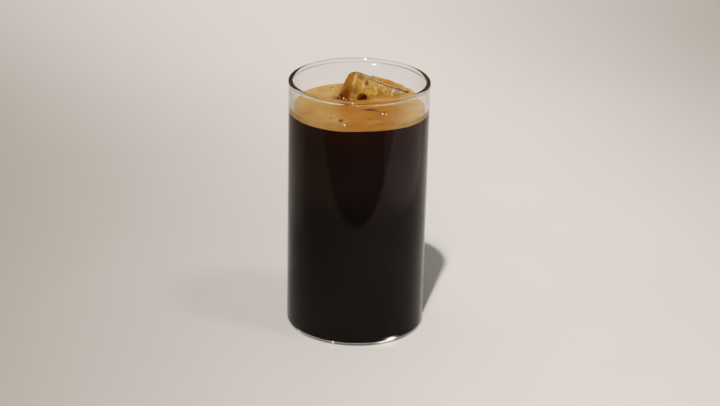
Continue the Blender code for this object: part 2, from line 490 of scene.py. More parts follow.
def clear_glass(glass):
    """Clean colourless glass with faint wiped streaks and the slow waves of drawn glass."""
    finish = Finish("clear_glass")
    smear = finish.noise(14 * MM, detail=4.0, roughness=0.6, stretch=(1, 1, 0.35))
    roughness = finish.step(smear, 0.52, 0.80, 0.07, 0.10)
    waves = finish.noise(22 * MM, detail=1.0)
    finish.set(Base_Color=glass.tint, Roughness=roughness, Transmission_Weight=1.0, IOR=1.47)
    finish.set(Normal=finish.bump(waves, 0.06 * MM))
    finish.let_light_through((0.93, 0.935, 0.935))
    return finish.material


def black_coffee(drink):
    """Near-black coffee that turns brown just under the crema, with slow darker drifts in it, and painted
    light higher up, where a little light still reaches.
    """
    finish = Finish("black_coffee")
    height = finish.axes()[2]
    drift = finish.noise(30 * MM, stretch=(1, 1, 0.6))
    wavy = height + drift * (10 * MM)
    # Painted light: the upper coffee is lighter where a little light still reaches
    shade = finish.mix(finish.step(wavy, 67 * MM, 93 * MM), drink.coffee, drink.coffee_mid)
    near_top = finish.step(wavy, drink.underside - 6 * MM, drink.underside + 5 * MM)
    finish.set(Base_Color=finish.mix(near_top, shade, drink.coffee_top))
    finish.set(Roughness=finish.step(drift, 0.3, 0.7, 0.06, 0.12), Specular_IOR_Level=0.1)
    return finish.material


def golden_crema(drink):
    """Fine coffee foam: patches from pale to deep, tiny open bubbles, a paler ring at the wall, a painted
    reflection that pales it at the left and the right, and dark where the coffee wets it at the ice."""
    finish = Finish("golden_crema")
    patches = finish.noise(13 * MM, detail=4.0, roughness=0.55, distortion=0.6)
    grain = finish.noise(1.6 * MM, detail=3.0, roughness=0.6)
    fine = finish.noise(0.45 * MM)
    tone = patches * 0.62 + grain * 0.26 + fine * 0.12
    shade = finish.mix(finish.step(tone, 0.34, 0.52), drink.crema_deep, drink.crema)
    shade = finish.mix(finish.step(tone, 0.50, 0.68, 0.0, 0.35), shade, drink.crema_pale_and_reflection)
    pores = finish.step(finish.cells(1.1 * MM), 0.10, 0.22, 1.0, 0.0)
    pores = pores * finish.step(finish.noise(5 * MM), 0.50, 0.62)
    shade = finish.mix(pores * 0.45, shade, drink.crema_deep)
    # The pale mask carries the painted reflection at the left and the right
    pale = finish.attribute("pale") * finish.step(patches, 0.3, 0.7, 0.75, 1.15)
    shade = finish.mix(finish.maths("MINIMUM", pale, 1.0), shade, drink.crema_pale_and_reflection)
    shade = finish.mix(finish.attribute("wet"), shade, drink.crema_wet)
    relief = grain * 0.5 + fine * 0.25 - pores * 0.6
    finish.set(Base_Color=shade, Roughness=finish.step(grain, 0.3, 0.7, 0.42, 0.60))
    finish.set(Specular_IOR_Level=0.35, Normal=finish.bump(relief, 0.10 * MM))
    return finish.material


def clear_ice(ice):
    """Wet clear ice, amber where a film of coffee clings to it and in the hollow, with the fine ripples of
    melting."""
    finish = Finish("clear_ice")
    ripple = finish.noise(3.2 * MM, distortion=0.4)
    fine = finish.noise(0.8 * MM)
    cloud = finish.noise(5 * MM, detail=3.0)
    tint = finish.mix(finish.attribute("film"), ice.clear, ice.film)
    melted = finish.around(HOLLOW_CENTRE, 0.80 * ice.hollow, ice.hollow)
    tint = finish.mix(melted, tint, ice.pool)
    finish.set(Base_Color=tint, Transmission_Weight=1.0, IOR=1.31)
    finish.set(Roughness=finish.step(cloud, 0.45, 0.75, 0.06, 0.12))
    finish.set(Normal=finish.bump(ripple * 0.8 + fine * 0.2, 0.16 * MM))
    finish.let_light_through((0.90, 0.89, 0.86))
    return finish.material


def ice_veil(ice):
    """The cloudy, golden and stained places just inside the ice, broken up by streaks, and clear in between.
    Behind the hollow it is coffee brown, from painted light at the top left to deep."""
    finish = Finish("ice_veil")
    streaks = finish.noise(1.6 * MM, detail=3.0, roughness=0.6, distortion=0.8)
    patches = finish.noise(4.5 * MM, detail=3.0, roughness=0.55, distortion=0.5)
    cloud, stain = finish.attribute("cloud"), finish.attribute("stain")
    melted = finish.around(HOLLOW_CENTRE, 0.84 * ice.hollow, ice.hollow)
    gold, low = finish.attribute("gold"), finish.attribute("low")
    ragged = cloud * finish.step(streaks, 0.36, 0.62, 0.35, 1.3)
    air = finish.mix(finish.step(low + patches * 0.8, 0.45, 1.05), ice.haze, ice.amber)
    air = finish.mix(ragged / (ragged + gold * 0.6 + 0.001), air, ice.cloud)
    shade = finish.mix(stain / (ragged + stain + gold * 0.5 + 0.001), air, ice.stain)
    x, _, z = finish.axes()
    # Painted light: the coffee in the hollow is lighter at its upper left rim
    lower_right = (x - HOLLOW_CENTRE[0]) * 0.45 - (z - HOLLOW_CENTRE[2])
    pool_place = lower_right / ice.hollow + patches * 0.5 - 0.25
    pool = finish.mix(finish.step(pool_place, -0.75, 0.15), ice.pool_painted_light, ice.pool_deep)
    finish.set(Base_Color=finish.mix(melted, shade, pool), Specular_IOR_Level=0.1)
    cover = ragged + melted + stain * finish.step(streaks, 0.30, 0.66, 0.6, 1.2)
    cover = cover + gold * finish.step(patches, 0.35, 0.62, 0.55, 1.35)
    finish.set(Alpha=finish.maths("MINIMUM", cover, 1.0), Roughness=finish.step(streaks, 0.3, 0.7, 0.5, 0.7))
    return finish.material


def locked_air():
    """Air in the ice: bright where it mirrors the light, with a haze that varies from bubble to bubble."""
    finish = Finish("locked_air")
    haze = finish.noise(2.5 * MM)
    finish.set(Base_Color=finish.mix(haze, (0.96, 0.95, 0.92), (0.80, 0.74, 0.62)))
    finish.set(Roughness=finish.step(haze, 0.3, 0.7, 0.02, 0.15), Transmission_Weight=1.0, IOR=1.6)
    finish.let_light_through((0.85, 0.84, 0.82))
    return finish.material


def bubble_film():
    """The thin film of a coffee bubble: clear, a little amber, with slow swirls in it."""
    finish = Finish("bubble_film")
    swirl = finish.noise(0.7 * MM, distortion=1.5)
    finish.set(Base_Color=finish.mix(swirl, (0.97, 0.90, 0.76), (0.90, 0.72, 0.46)))
    finish.set(Roughness=finish.step(swirl, 0.3, 0.7, 0.08, 0.14), Transmission_Weight=1.0, IOR=1.33)
    finish.let_light_through((0.90, 0.86, 0.78))
    return finish.material


def glowing_highlight_bead(name, tint):
    """A small glowing bead, a painted highlight: pale, glossy and a little uneven."""
    finish = Finish(name)
    spread = finish.noise(0.5 * MM)
    finish.set(Base_Color=finish.mix(finish.step(spread, 0.35, 0.75, 0.0, 0.35), tint, (0.62, 0.44, 0.22)))
    finish.set(Roughness=finish.step(spread, 0.3, 0.7, 0.12, 0.25))
    # The glow makes the bead a painted highlight
    finish.set(Emission_Color=(0.34, 0.33, 0.31), Emission_Strength=1.0)
    return finish.material


def heel_light():
    """Painted light in the heel, for the pale light that a clear base carries round under the drink: two thin
    streaks, uneven along them, and clear between and beside them, with glints that glow."""
    finish = Finish("heel_light")
    drift = finish.noise(9 * MM, detail=3.0)
    cover = finish.attribute("streak") * finish.step(drift, 0.3, 0.7, 0.75, 1.1)
    glint = finish.attribute("glint")
    finish.set(Base_Color=finish.mix(glint, (0.47, 0.44, 0.41), (0.95, 0.94, 0.92)))
    # The glints glow: painted highlights
    finish.set(Emission_Color=finish.mix(glint, (0.0, 0.0, 0.0), (0.42, 0.41, 0.40)), Emission_Strength=1.0)
    finish.set(Alpha=finish.maths("MINIMUM", cover + glint, 1.0))
    finish.set(Roughness=finish.step(drift, 0.3, 0.7, 0.45, 0.6))
    return finish.material


def pale_floor(studio):
    """A plain pale tabletop, satin, with painted light. It is lightest in a band, exp(-aside^2), that leans
    left and widens with distance, a painted pool of lamplight, and in a round painted glow beside the glass,
    and varies faintly like clouds."""
    finish = Finish("pale_floor")
    x, y, _ = finish.axes()
    aside = (x - 0.11 + finish.step(y, 0.10, 0.65, 0.0, 0.17)) / finish.step(y, 0.25, 0.95, 0.30, 0.42)
    lit = finish.maths("EXPONENT", aside * aside * -1.0)
    # A painted glow of light on the floor beside the glass
    near = ((x - 0.062) ** 2.0 + (y - 0.045) ** 2.0) * (-1.0 / 0.035**2)
    lit = lit + finish.maths("EXPONENT", near) * 0.16
    clouds = finish.noise(0.16, detail=3.0)
    grain = finish.noise(1.2 * MM)
    shade = finish.mix(lit * finish.step(clouds, 0.3, 0.7, 0.97, 1.0), studio.floor_painted_shade, studio.floor)
    finish.set(Base_Color=shade)
    finish.set(Roughness=finish.step(grain, 0.3, 0.7, 0.55, 0.65), Specular_IOR_Level=0.3)
    finish.set(Normal=finish.bump(grain, 0.02 * MM))
    return finish.material


def arc(centre_r, centre_z, radius, start, end, steps):
    """Profile points (r, z) at centre + radius (cos, sin) of evenly spaced angles in degrees."""
    angles = np.radians(np.linspace(start, end, steps + 1))
    return np.stack([centre_r + radius * np.cos(angles), centre_z + radius * np.sin(angles)], axis=1)


def straight(start, end, steps):
    """Evenly spaced profile points between two points, without the two ends."""
    shares = np.linspace(0.0, 1.0, steps + 2)[1:-1, None]
    return np.array(start) * (1 - shares) + np.array(end) * shares


def joined(*runs):
    """A profile from runs of points, without any point that repeats the one before it."""
    points = np.concatenate(runs)
    apart = np.hypot(*np.diff(points, axis=0).T) > 1e-7
    return points[np.concatenate([[True], apart])]


def round_angles(count):
    """That many azimuths, evenly spaced once round."""
    return np.linspace(0, math.tau, count, endpoint=False)


def polar(radius, azimuth, height):
    """Points (r cos a, r sin a, z)."""
    x, y = radius * np.cos(azimuth), radius * np.sin(azimuth)
    return np.stack([x, y, height + 0 * x], axis=-1)


def turned(profile, azimuths):
    """Rings of a turned surface: (r cos a, r sin a, z) for each profile point (r, z) and each azimuth a."""
    return polar(profile[:, :1], azimuths, profile[:, 1:])


def ring_quads(here):
    """Quads that join each ring of point numbers to the next."""
    beside = np.roll(here, -1, axis=1)
    return np.stack([here[:-1], here[1:], beside[1:], beside[:-1]], axis=-1).reshape(-1, 4).tolist()


def skin(rings, first, last):
    """(points, faces) of a closed surface: quads join each ring of points to the next, and fans close both
    ends on the axis, at the first and the last height. Faces point outwards where the rings run outwards over
    the top and down the outside, and a ring's points run counterclockwise seen from above."""
    count, around = rings.shape[:2]
    points = np.concatenate([[(0.0, 0.0, first)], rings.reshape(-1, 3), [(0.0, 0.0, last)]])
    here = 1 + np.arange(count * around).reshape(count, around)
    beside = np.roll(here, -1, axis=1)
    start = np.stack([np.zeros(around, int), here[0], beside[0]], axis=-1)
    end = np.stack([np.full(around, len(points) - 1), beside[-1], here[-1]], axis=-1)
    return points, ring_quads(here) + start.tolist() + end.tolist()


def repeated(points, faces, places, sizes):
    """(points, faces) of copies of a small shape: each is its points times a size, moved to a place."""
    copies = places[:, None, :] + sizes[:, None, None] * points[None]
    starts = np.arange(len(places))[:, None, None] * len(points)
    moved = []
    for corners in (3, 4):
        alike = np.array([face for face in faces if len(face) == corners])
        moved += (alike[None] + starts).reshape(-1, corners).tolist()
    return copies.reshape(-1, 3), moved


def placed(name, data):
    """A new object of the scene with that data."""
    item = bpy.data.objects.new(name, data)
    bpy.context.scene.collection.objects.link(item)
    return item


def add_piece(name, points, faces, material, node=None, masks=None):
    """Makes a smooth mesh piece that rides on the body, with any masks as values on its points."""
    mesh = bpy.data.meshes.new(name)
    mesh.from_pydata(points.tolist(), [], faces)
    mesh.shade_smooth()
    mesh.materials.append(material)
    for mask, values in (masks or {}).items():
        mesh.attributes.new(mask, "FLOAT", "POINT").data.foreach_set("value", values.astype(np.float32))
    piece = placed(name, mesh)
    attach(piece, BODY)
    if node:
        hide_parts(node)


def spot(points, x, y, width, height=None):
    """One at (x, y) and fading as exp(-distance squared) over the width, or over a width and a height."""
    across = (points[..., 0] - x) / width
    along = (points[..., 1] - y) / (height or width)
    return np.exp(-(across**2) - along**2)


def spots(points, rows):
    """The sum of spots from rows of (x, y, width, height, strength)."""
    return sum(strength * spot(points, x, y, width, height) for x, y, width, height, strength in rows)


def band(values, middle, width):
    """One at the middle value and fading as exp(-distance squared) over the width."""
    return np.exp(-(((values - middle) / width) ** 2))


def ramp(values, low, high):
    """Rises evenly from 0 at the low value to 1 at the high one."""
    return np.clip((values - low) / (high - low), 0, 1)


def below(values, edge, softness):
    """One below the edge and zero above it: 1 / (1 + exp((value - edge) / softness))."""
    return 1 / (1 + np.exp((values - edge) / softness))


def glass_rings(glass):
    """The tumbler's profile from the middle of its floor, up the inner wall, over the round bead of the rim,
    down the outer wall and round the heel, turned round the axis. Hollow arcs that touch both join the bead
    to the wall: their middles lie sqrt((bead + neck)^2 - (half wall + neck)^2) under the bead's. Slow waves,
    sin(2a + z/h) and sin(3a - z/k), make the wall a little uneven, and fade at the rim and at the base."""
    inner = glass.radius - glass.wall
    bead, neck = glass.bead, glass.bead_neck
    middle = inner + glass.wall / 2
    aside = glass.wall / 2 + neck
    drop = math.sqrt((bead + neck) ** 2 - aside**2)
    slope = math.degrees(math.atan2(drop, aside))
    corner_r, corner_z = inner - glass.corner, glass.base + glass.corner
    bead_z = glass.height - bead
    shoulder = bead_z - drop
    profile = joined(
        straight((0.0, glass.base), (corner_r, glass.base), 12),
        arc(corner_r, corner_z, glass.corner, -90, 0, 12),
        straight((inner, corner_z), (inner, shoulder), 34),
        arc(middle - aside, shoulder, neck, 0, slope, 8),
        arc(middle, bead_z, bead, 180 + slope, -slope, 34),
        arc(middle + aside, shoulder, neck, 180 - slope, 180, 8),
        straight((glass.radius, shoulder), (glass.radius, glass.heel), 34),
        arc(glass.radius - glass.heel, glass.heel, glass.heel, 0, -90, 12),
        straight((glass.radius - glass.heel, 0.0), (0.0, 0.0), 12),
    )
    azimuths = round_angles(glass.sectors)
    radius, height = profile[:, :1], profile[:, 1:]
    fade = np.clip((shoulder - height) / (6 * MM), 0, 1) * np.clip((height - 6 * MM) / (9 * MM), 0, 1)
    waves = np.sin(2 * azimuths + height / (19 * MM)) + 0.6 * np.sin(3 * azimuths - height / (11 * MM))
    inwards = glass.unevenness * fade * (0.5 + 0.5 * waves) / np.maximum(radius, MM)
    rings = turned(profile, azimuths)
    rings[..., :2] *= (1 - inwards)[..., None]
    return rings


def crema_rise(radius, azimuth, drink, outer):
    """How far the crema stands above its level: a meniscus that fades as exp(-distance) from the wall, and
    the lip, which rises evenly to its peak, falls to its end and slopes down inwards squared."""
    from_wall = np.clip(outer - radius, 0, None)
    meniscus = drink.meniscus * np.exp(-from_wall / (1.2 * MM))
    degrees = np.degrees(azimuth)
    rising = (degrees - LIP_START) / (LIP_PEAK - LIP_START)
    falling = (LIP_END - degrees) / (LIP_END - LIP_PEAK)
    along = np.clip(np.minimum(rising, falling), 0, 1)
    uneven = 1 - 0.10 * np.sin(degrees / 4.1) ** 2 - 0.05 * np.sin(degrees / 1.7 + 1)
    inwards = np.clip(1 - from_wall / drink.lip_reach, 0, 1) ** 2
    return np.maximum(meniscus, drink.lip * along * uneven * inwards)


def ice_axes(ice):
    """(the block's axes as columns, its middle, its half sizes)."""
    axes = np.array(Euler(ice.turn, "XYZ").to_matrix())
    half = np.array([ice.ridge, ice.depth, ice.thickness]) / 2
    return axes, np.array(ice.corner) + axes @ half, half


def ice_reach(directions, ice):
    """Distance from the block's middle to its surface in each direction d: (sum of (n.d / h)^p)^(-1 / p) over
    the faces that look that way, with the face's normal n, its distance h and the sharpness p."""
    axes, middle, half = ice_axes(ice)
    size = 2 * half / MM
    far_faces = (((0, 0, 1), (0, 0, size[2])), ((0, 1, 0), (0, size[1], 0)), ((1, 0, 0), (size[0], 0, 0)))
    faces = (*ICE_NEAR_FACES, *ICE_LEFT_FACES, *far_faces)
    normals = np.array([normal for normal, _ in faces], float)
    normals /= np.linalg.norm(normals, axis=1, keepdims=True)
    far = np.sum(normals * (np.array([point for _, point in faces]) * MM - half), axis=1)
    azimuths = np.radians(ICE_WALL_AZIMUTHS)
    outwards = polar(1.0, azimuths, 0.0)
    reach = GLASS_BOX[1].x - bpy.context.scene.iced_americano.glass.wall - ICE_WALL_CLEARANCE
    normals = np.concatenate([normals @ axes.T, outwards])
    far = np.concatenate([far, reach - outwards @ middle])
    shares = np.clip(directions @ normals.T / far, 0, None)
    return np.sum(shares**ice.sharpness, axis=-1) ** (-1 / ice.sharpness)


def ice_gap(points, ice):
    """About how far each point lies outside the block's surface, seen from the block's middle."""
    away = points - ice_axes(ice)[1]
    distance = np.linalg.norm(away, axis=-1)
    return distance - ice_reach(away / distance[..., None], ice)


def cube_grid(cells):
    """(points from -1 to 1, quads) of a cube's surface: six grids of cells, whose shared edges are one."""
    side = np.arange(cells + 1)
    first, second = np.meshgrid(side, side, indexing="ij")
    sheets = []
    for axis in range(3):
        for end in (0, cells):
            sheet = np.empty((cells + 1, cells + 1, 3), int)
            sheet[..., axis] = end
            sheet[..., (axis + 1) % 3] = first if end else second
            sheet[..., (axis + 2) % 3] = second if end else first
            sheets.append(sheet)
    corners = np.array(sheets)
    unique, number = np.unique(corners.reshape(-1, 3), axis=0, return_inverse=True)
    number = number.reshape(corners.shape[:3])
    quads = [number[:, :-1, :-1], number[:, 1:, :-1], number[:, 1:, 1:], number[:, :-1, 1:]]
    return unique * (2 / cells) - 1, np.stack(quads, axis=-1).reshape(-1, 4)


def ice_surface(ice, cells, inset=0.0):
    """(points, quads, the points' places in the block's axes in mm). A cube's points set the directions from
    the block's middle, and its reach the distances, less an inset. Waves that are products of sines, Gaussian
    dents, the sag of the ridge and the hollow in the front, a bowl that rises smoothly to its edge, are taken
    off along the same directions."""
    axes, middle, half = ice_axes(ice)
    cube, quads = cube_grid(cells)
    towards = (cube * half) @ axes.T
    towards /= np.linalg.norm(towards, axis=1, keepdims=True)
    reach = ice_reach(towards, ice)
    place = ((towards * reach[:, None]) @ axes + half) / MM
    along, down, through = place.T
    waves = np.sin(0.62 * along + 0.31 * down + 1.2) * np.sin(0.52 * down - 0.40 * through + 0.4)
    waves += 0.55 * np.sin(1.30 * along - 0.85 * down + 0.5 * through)
    waves += 0.30 * np.sin(2.1 * down + 1.2 * along)
    front = below(through, 1.2, 0.5)
    dents = sum(depth * spot(place, u, v, width) for u, v, width, depth in ICE_DENTS)
    sag = band(along, 17, 8) * below(down, 2.2, 0.7)
    centre = (HOLLOW_CENTRE - ice.corner) @ axes
    aside = np.hypot(along * MM - centre[0], down * MM - centre[1]) / (1.15 * ice.hollow)
    bowl = np.clip((1.0 - aside) / 0.40, 0, 1)
    bowl = bowl * bowl * (3 - 2 * bowl) * front
    reach = reach - ice.ripple * (1 + waves) / 2 - dents * front * MM - ice.sag * sag
    reach = reach - ice.hollow_depth * bowl - inset
    return middle + towards * reach[:, None], quads, place


def crema_rings(drink, ice, outer):
    """Rings over the crema's top, down its side and in under it. The top is the level with its rise at the
    wall, low swells that are products of sines, and a rise of exp(-gap) at the ice. The side ends on the
    lower edge, waves of the azimuth with one smooth rise. Rings near its top keep the corner crisp."""
    azimuths = round_angles(drink.sectors)
    shares = np.linspace(0, 1, drink.rings + 1)[1:, None]
    radius = outer * (0.55 * shares + 0.45 * np.sin(shares * math.pi / 2))
    radius = np.concatenate([radius[:-1], [[outer - 0.04 * MM]], radius[-1:]])
    top = polar(radius, azimuths, drink.level + crema_rise(radius, azimuths, drink, outer))
    x, y = top[..., 0], top[..., 1]
    swell = np.sin(x / (3.7 * MM) + 1.3 * np.sin(y / (5.1 * MM))) * np.sin(y / (4.3 * MM) + 0.8)
    top[..., 2] += 0.05 * MM * swell
    gap = np.clip(ice_gap(top, ice), 0, None)
    top[..., 2] += 0.15 * MM * np.exp(-gap / (0.6 * MM))
    rise = np.exp(EDGE_NARROWNESS * (np.cos(azimuths - math.radians(EDGE_AZIMUTH)) - 1))
    edge = drink.underside + MM * (EDGE_MEAN + EDGE_TILT * np.cos(azimuths) + EDGE_RISE * rise)
    edge += MM * (0.05 * np.sin(11 * azimuths) + 0.03 * np.sin(26 * azimuths + 1))
    down = np.array([0.02, 0.15, 0.3, 0.45, 0.6, 0.75, 0.9, 1.0])[:, None]
    side = np.repeat(top[-1:], len(down), axis=0)
    side[..., 2] = top[-1, :, 2] * (1 - down) + edge * down
    under = np.repeat(side[-1:], 3, axis=0)
    under[..., :2] *= np.array([0.97, 0.6, 0.2])[:, None, None]
    under[..., 2] = drink.underside
    return np.concatenate([top, side, under])


def foam_masks(place, gap, outer):
    """How wet and how pale the foam is, from places, gaps to the ice and the wall's radius in mm. It is wet
    in a seam round the ice, most at its left foot, in marks and in front of the hollow. It is paler at the
    left and the right, where that is a painted reflection of the glass's haze, in patches, in a ring at the
    wall and inside the ice."""
    x, y = place[:, 0], place[:, 1]
    hollow_x, hollow_y, _ = HOLLOW_CENTRE / MM
    seam = band(np.clip(gap, 0, None), 0, 0.8) * (gap > -1.5) * (y < 12)
    melted = 1.5 * spot(place, hollow_x, hollow_y, 3.4) * below(gap, 0.3, 0.3)
    wet = seam * (0.06 + 0.89 * below(x, -4.5, 1.2)) + spots(place, CREMA_MARKS) + melted
    # Painted reflection: the haze that the glass walls mirror over the foam at the left and the right
    left = ramp(-x, 6, 15) * (0.5 + 0.5 * ramp(y, 3, 18))
    right = 0.85 * ramp(x, 15, 27)
    rim = 0.30 * ramp(np.hypot(x, y), outer - 0.8, outer)
    inside = 0.6 * ramp(-gap, 0, 1.5)
    pale = left + right + rim + inside + spots(place, CREMA_PALE_PATCHES)
    return {"wet": np.clip(wet, 0, 1), "pale": np.clip(pale, 0, 1)}


def veil_masks(place):
    """Where the veil is cloudy, stained, golden and low, from places in the block's axes in mm. Clouds and
    stains are spots with bands along the ridge, and stains cover the chamfer at the left; the cloud band
    along the ridge's edge is a painted highlight. The first three lie near the front only."""
    along, down, through = place.T
    front = below(through, 4.5, 0.6)
    chamfer = below(along, -0.9, 0.25)
    # The cloud band just under the ridge is a painted highlight along the ridge's edge
    clouds = spots(place, ICE_CLOUDS) + 0.6 * ramp(along, 4, 7) * band(down, 0.2, 0.35)
    stains = spots(place, ICE_STAINS) + 0.7 * ramp(along, 8, 12) * band(down, 1.2, 0.35)
    stains = stains + (0.15 + 0.75 * ramp(down, 10.5, 14.5)) * chamfer
    gold = 0.62 - 0.40 * ramp(along, 19, 23) + 0.15 * ramp(down, 0, 8)
    masks = {"cloud": clouds, "stain": stains, "gold": gold}
    masks = {name: np.clip(values * front, 0, 1) for name, values in masks.items()}
    return {**masks, "low": ramp(down, 0, 9) + 0.4 * chamfer}


def heel_band(glass):
    """(points, faces, masks) of a thin closed band inside the heel: down the wall and along an arc that lies
    a third of a millimetre inside the heel's own, and back a little further in. The streak mask is a sum of
    Gaussians of the height, and the glint mask one of Gaussians of azimuth and height."""
    centre_r, centre_z = glass.radius - glass.heel, glass.heel
    top = centre_z + HEEL_UPWARDS + 0.2 * MM
    reach, back = (glass.heel - inset for inset in HEEL_INSETS)
    down = straight((centre_r + reach, top), (centre_r + reach, centre_z), 8)
    up = straight((centre_r + back, centre_z), (centre_r + back, top), 8)
    outer = np.concatenate([down, arc(centre_r, centre_z, reach, 0, -78, 22)])
    inner = np.concatenate([arc(centre_r, centre_z, back, -78, 0, 22), up])
    profile = np.concatenate([outer, inner, outer[:1]])
    azimuths = round_angles(2 * glass.sectors)
    rings = turned(profile, azimuths)
    count, around = rings.shape[:2]
    here = np.arange(count * around).reshape(count, around)
    here[-1] = here[0]
    height = rings[:-1, :, 2] / MM
    streak = 0.85 * band(height, 1.55, 0.38) + 0.70 * band(height, 0.62, 0.22)
    place = np.stack([np.degrees(azimuths) + 0 * height, height], axis=-1)
    masks = {"streak": streak.ravel(), "glint": np.clip(spots(place, HEEL_GLINTS), 0, 1).ravel()}
    return rings[:-1].reshape(-1, 3), ring_quads(here), masks


def ball(sectors, rings):
    """(points, faces) of a small ball of radius one."""
    profile = arc(0, 0, 1, 90, -90, rings + 1)[1:-1]
    return skin(turned(profile, round_angles(sectors)), 1, -1)


def dome(sectors, rings):
    """(points, faces) of a bubble's film: out over a half ball of radius one, a little past its edge, and
    back up under it, a film's thickness further in."""
    inside = 0.95
    outer = arc(0, 0, 1, 90, -12, rings + 1)[1:]
    profile = np.concatenate([outer, outer[::-1] * inside])
    return skin(turned(profile, round_angles(sectors)), 1, inside)


class ICED_OT_glass(bpy.types.Operator):
    """Makes the clear tumbler"""

    bl_idname = "iced.glass"
    bl_label = "Tumbler"

    def execute(self, context):
        glass = context.scene.iced_americano.glass
        points, faces = skin(glass_rings(glass), glass.base, 0.0)
        add_piece("glass_tumbler", points, faces, clear_glass(glass), "glass")
        return {"FINISHED"}


class ICED_OT_coffee(bpy.types.Operator):
    """Fills the tumbler with coffee up to the crema"""

    bl_idname = "iced.coffee"
    bl_label = "Coffee"

    def execute(self, context):
        drink, glass = context.scene.iced_americano.drink, context.scene.iced_americano.glass
        outer = glass.radius - glass.wall + INTO_WALL
        corner = glass.corner + INTO_WALL
        floor = glass.base + drink.lift
        top = drink.underside + COFFEE_INTO_CREMA
        side_end = glass.base + glass.corner
        turn = arc(outer - corner, side_end, corner, 0, -90, 12)
        turn[:, 1] += (floor - turn[-1, 1]) * np.linspace(0, 1, len(turn)) ** 2
        profile = joined(
            straight((0.0, top), (outer, top), 8),
            straight((outer, top), (outer, top - COFFEE_EDGE), 2),
            straight((outer, top - COFFEE_EDGE), (outer, side_end), 40),
            turn,
            straight((outer - corner, floor), (0.0, floor), 8),
        )
        points, faces = skin(turned(profile, round_angles(glass.sectors)), top, floor)
        add_piece("coffee_fill", points, faces, black_coffee(drink), "coffee")
        return {"FINISHED"}


class ICED_OT_crema(bpy.types.Operator):
    """Lays the crema on the coffee, with its lip behind the ice and its wet seam round it"""

    bl_idname = "iced.crema"
    bl_label = "Crema"

    def execute(self, context):
        settings = context.scene.iced_americano
        drink, glass = settings.drink, settings.glass
        outer = glass.radius - glass.wall + CREMA_INTO_WALL
        rings = crema_rings(drink, settings.ice, outer)
        points, faces = skin(rings, drink.level, drink.underside)
        masks = foam_masks(points / MM, ice_gap(points, settings.ice) / MM, outer / MM)
        add_piece("crema_foam", points, faces, golden_crema(drink), "crema", masks)
        return {"FINISHED"}


class ICED_OT_ice(bpy.types.Operator):
    """Makes the worn block of ice"""

    bl_idname = "iced.ice"
    bl_label = "Ice"

    def execute(self, context):
        ice = context.scene.iced_americano.ice
        points, quads, place = ice_surface(ice, ice.cells)
        left = below(place[:, 0], -0.6, 0.4)
        foot = below(points[:, 2] / MM, 121.0, 0.7) * (place[:, 0] < 1.0)
        masks = {"film": np.clip(0.65 * left + 0.5 * foot, 0, 1)}
        add_piece("ice", points, quads.tolist(), clear_ice(ice), "ice_block", masks)
        return {"FINISHED"}


class ICED_OT_veil(bpy.types.Operator):
    """Hangs the cloudy and stained veil just inside the ice"""

    bl_idname = "iced.veil"
    bl_label = "Clouds in the ice"

    def execute(self, context):
        ice = context.scene.iced_americano.ice
        points, quads, place = ice_surface(ice, ice.veil, inset=0.5 * MM)
        masks = veil_masks(place)
        add_piece("ice_veil", points, quads.tolist(), ice_veil(ice), masks=masks)
        return {"FINISHED"}


class ICED_OT_air(bpy.types.Operator):
    """Locks small bubbles of air into the ice"""

    bl_idname = "iced.air"
    bl_label = "Air in the ice"

    def execute(self, context):
        ice = context.scene.iced_americano.ice
        axes, middle, half = ice_axes(ice)
        random = np.random.default_rng(7)
        spread = random.normal(0, 1, (AIR_BUBBLES, 3)) * np.array([0.42, 0.40, 0.30])
        places = middle + (np.clip(spread, -0.8, 0.8) * half) @ axes.T
        sizes = MM * (0.08 + 0.26 * random.random(AIR_BUBBLES) ** 3)
        kept = (ice_gap(places, ice) < -AIR_DEPTH) & (places[:, 2] > AIR_LOWEST)
        points, faces = repeated(*ball(8, 5), places[kept], sizes[kept])
        add_piece("ice_air", points, faces, locked_air())
        return {"FINISHED"}


class ICED_OT_bubbles(bpy.types.Operator):
    """Sets bubbles on the crema: the single ones that show, and small ones along the wall and the ice"""

    bl_idname = "iced.bubbles"
    bl_label = "Bubbles"

    def execute(self, context):
        settings = context.scene.iced_americano
        drink = settings.drink
        outer = settings.glass.radius - settings.glass.wall
        large = np.array(CREMA_BUBBLES) * MM
        random = np.random.default_rng(11)
        azimuth = random.random(SMALL_BUBBLES) * math.tau
        radius = outer * np.sqrt(random.random(SMALL_BUBBLES)) * 0.97
        small = polar(radius, azimuth, drink.level)
        gap = ice_gap(small, settings.ice) / MM
        edge = (outer - radius) / MM
        chance = 0.25 + np.exp(-np.clip(gap, 0, None) / 2.5) + 0.6 * np.exp(-edge / 1.5)
        kept = (random.random(SMALL_BUBBLES) < chance) & (gap > 0.4)
        small, azimuth, radius = small[kept], azimuth[kept], radius[kept]
        small[:, 2] += crema_rise(radius, azimuth, drink, outer)
        small_sizes = MM * (0.16 + 0.30 * random.random(len(small)) ** 2)
        places = np.stack([large[:, 0], large[:, 1], np.full(len(large), drink.level)], axis=1)
        big_points, big_faces = repeated(*dome(24, 10), places, large[:, 2])
        points, faces = repeated(*dome(12, 5), small, small_sizes)
        faces = big_faces + [[corner + len(big_points) for corner in face] for face in faces]
        points = np.concatenate([big_points, points])
        add_piece("crema_bubbles", points, faces, bubble_film())
        return {"FINISHED"}


def add_lamp(name, kind, strength, place, aim):
    """A lamp at that place, turned to a point."""
    lamp = placed(name, bpy.data.lights.new(name, kind))
    lamp.data.energy = strength
    lamp.location = place
    lamp.rotation_euler = (Vector(aim) - Vector(place)).to_track_quat("-Z", "Y").to_euler()
    return lamp


